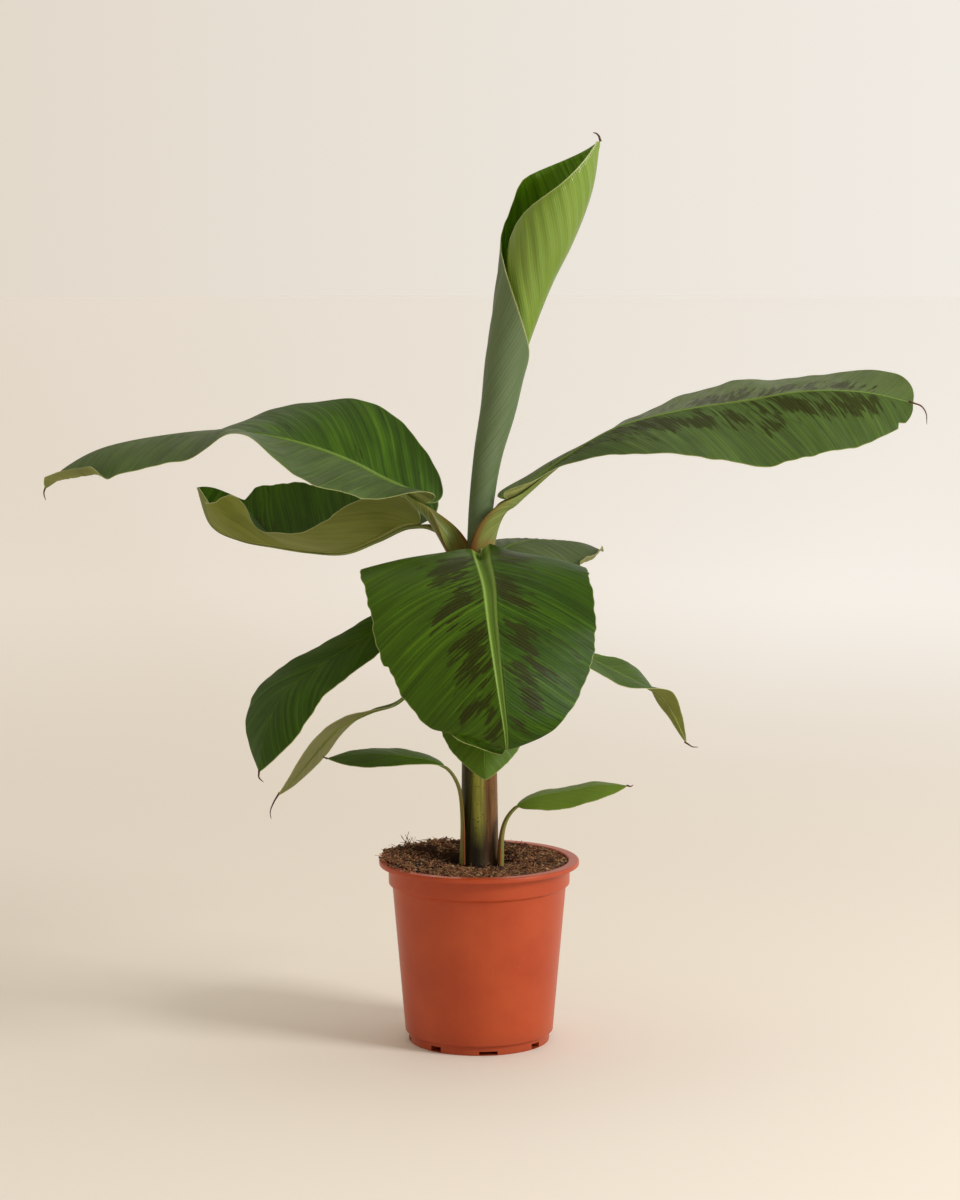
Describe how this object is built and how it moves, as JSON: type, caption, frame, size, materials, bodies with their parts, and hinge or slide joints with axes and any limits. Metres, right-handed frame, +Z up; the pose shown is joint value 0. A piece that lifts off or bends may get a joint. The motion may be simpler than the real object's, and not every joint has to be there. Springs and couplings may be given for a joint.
{
  "type": "potted banana plant",
  "caption": "Young banana plant in a round nursery pot: a short pseudostem with broad spreading leaves, a rolled new leaf at the top and small leaves at the foot.",
  "frame": {"origin": "middle of the pot's flat underside", "axes": "+Z up, -Y towards the plant's front leaf, +X to the right seen from the front"},
  "size_m": [1.0235, 0.5285, 1.072],
  "materials": {
    "pot": "moulded terracotta-coloured plastic, half gloss",
    "soil": "damp peat and coir crumbs",
    "stem": "smooth green sheaths, browned and dry in places",
    "stalk": "smooth yellow-green channelled stalk",
    "leaf": "waxy leaf, half gloss, with maroon blotches"
  },
  "bodies": {
    "root": {"pot": "pot", "soil": "soil", "pseudostem": "stem", "stalk_left_high": "stalk", "leaf_left_high": "leaf", "stalk_left_cupped": "stalk", "leaf_left_cupped": "leaf", "stalk_right_high": "stalk", "leaf_right_high": "leaf", "stalk_front": "stalk", "leaf_front": "leaf", "stalk_front_low": "stalk", "leaf_front_low": "leaf", "stalk_back_right": "stalk", "leaf_back_right": "leaf", "stalk_back": "stalk", "leaf_back": "leaf", "stalk_left_low": "stalk", "leaf_left_low": "leaf", "stalk_left_folded": "stalk", "leaf_left_folded": "leaf", "stalk_right_low": "stalk", "leaf_right_low": "leaf", "stalk_base_left": "stalk", "leaf_base_left": "leaf", "stalk_base_right": "stalk", "leaf_base_right": "leaf", "leaf_rolled": "leaf"}
  },
  "joints": []
}
